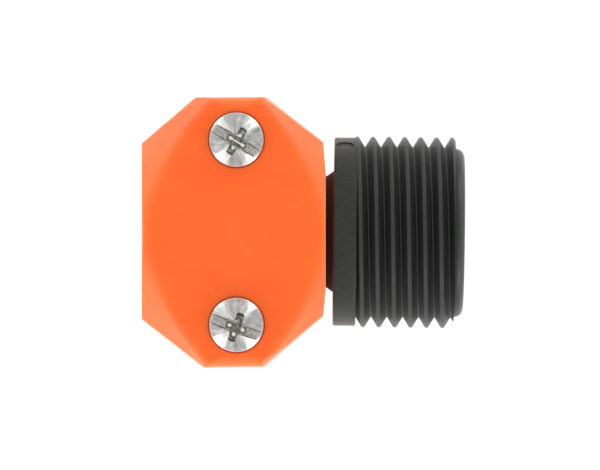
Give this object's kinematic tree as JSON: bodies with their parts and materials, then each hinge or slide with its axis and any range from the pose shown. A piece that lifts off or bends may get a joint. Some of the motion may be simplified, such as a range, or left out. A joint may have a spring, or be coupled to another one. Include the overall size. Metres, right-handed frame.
{
  "type": "garden hose repair coupling",
  "caption": "Garden hose repair coupling: a barbed stem with a male hose thread, held in a screwed clamp of two halves.",
  "frame": {"origin": "centre of the bounding box in plan, on the flat back of the back clamp half", "axes": "+X along the bore towards the threaded end, +Y across the two screws, +Z out of the face with the screw heads"},
  "size_m": [0.045, 0.0376, 0.0307],
  "materials": {
    "orange_plastic": "satin, slightly translucent",
    "black_plastic": "satin moulded",
    "screw_steel": "turned, bright"
  },
  "bodies": {
    "back_half": {"back_clamp_half": "orange_plastic", "hex_nut_1": "screw_steel", "hex_nut_2": "screw_steel"},
    "front_half": {"front_clamp_half": "orange_plastic"},
    "stem": {"stem": "black_plastic"},
    "screw_1": {"clamp_screw_1": "screw_steel"},
    "screw_2": {"clamp_screw_2": "screw_steel"}
  },
  "joints": [
    {"name": "stem_swivel", "type": "hinge", "parent": "back_half", "child": "stem", "pos_m": [0, 0, 0.014], "axis": [1, 0, 0], "continuous": true},
    {"name": "front_half_lift", "type": "slide", "parent": "back_half", "child": "front_half", "axis": [0, 0, 1], "range_m": [0, 0.00245]},
    {"name": "screw_1_turn", "type": "hinge", "parent": "front_half", "child": "screw_1", "pos_m": [-0.00913, 0.0127, 0.0278], "axis": [0, 0, 1], "range_deg": [0, 1260]},
    {"name": "screw_2_turn", "type": "hinge", "parent": "front_half", "child": "screw_2", "pos_m": [-0.00913, -0.0127, 0.0278], "axis": [0, 0, 1], "range_deg": [0, 1260]}
  ],
  "couplings": [
    {"joint": "screw_1_turn", "follows": "front_half_lift", "rad_per_m": 8976},
    {"joint": "screw_2_turn", "follows": "front_half_lift", "rad_per_m": 8976}
  ]
}
